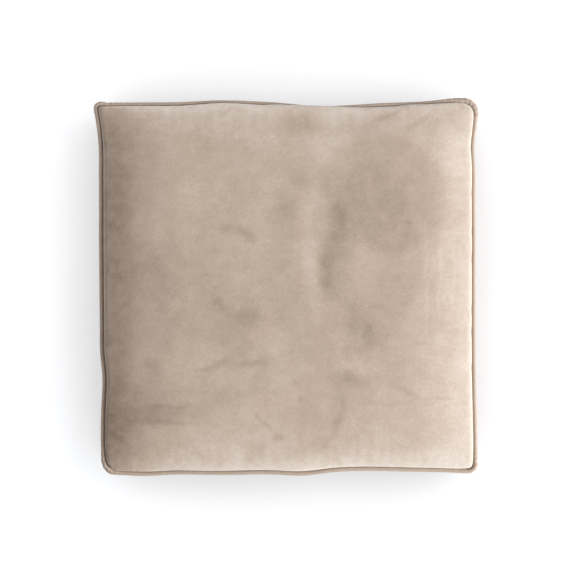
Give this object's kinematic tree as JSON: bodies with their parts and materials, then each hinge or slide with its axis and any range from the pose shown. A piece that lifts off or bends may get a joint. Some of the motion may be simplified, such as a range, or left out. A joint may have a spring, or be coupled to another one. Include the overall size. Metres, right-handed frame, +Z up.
{
  "type": "floor cushion",
  "caption": "Square box-edged velvet floor cushion with piped edges, a zipped removable cover and a wadded foam insert.",
  "frame": {"origin": "middle of the resting face", "axes": "+Z up, +Y towards the side with the zip, +X to the right seen from the front"},
  "size_m": [0.6, 0.592, 0.15],
  "materials": {
    "velvet": "taupe cut-pile velvet",
    "piping_filler": "twisted cotton cord",
    "casing_cloth": "white non-woven cloth",
    "wadding": "bonded polyester fibre",
    "foam": "open-cell polyurethane foam",
    "zip_tape_cloth": "woven polyester tape",
    "zip_nylon": "nylon coil",
    "zip_metal": "enamelled zinc casting",
    "label_cloth": "blank white satin ribbon"
  },
  "bodies": {
    "root": {"top_panel": "velvet", "base_panel": "velvet", "front_boxing": "velvet", "left_boxing": "velvet", "right_boxing": "velvet", "zip_boxing_upper": "velvet", "zip_boxing_lower": "velvet", "top_piping_sleeve": "velvet", "base_piping_sleeve": "velvet", "top_piping_cord": "piping_filler", "base_piping_cord": "piping_filler", "insert_casing_upper": "casing_cloth", "insert_casing_lower": "casing_cloth", "insert_wadding_top": "wadding", "insert_wadding_base": "wadding", "insert_wadding_band": "wadding", "insert_foam_core": "foam", "zip_tape_upper": "zip_tape_cloth", "zip_tape_lower": "zip_tape_cloth", "zip_coil_upper": "zip_nylon", "zip_coil_lower": "zip_nylon", "zip_top_stops": "zip_metal", "zip_bottom_stop": "zip_metal", "care_label": "label_cloth"},
    "zip_slider": {"zip_slider_body": "zip_metal"},
    "zip_pull": {"zip_pull_tab": "zip_metal"}
  },
  "joints": [
    {"name": "zip_slide", "type": "slide", "parent": "root", "child": "zip_slider", "axis": [1, 0, 0], "range_m": [0, 0.4754]},
    {"name": "pull_flip", "type": "hinge", "parent": "zip_slider", "child": "zip_pull", "pos_m": [-0.2374, 0.29105, 0.071], "axis": [0, 0, 1], "range_deg": [0, 175]}
  ]
}
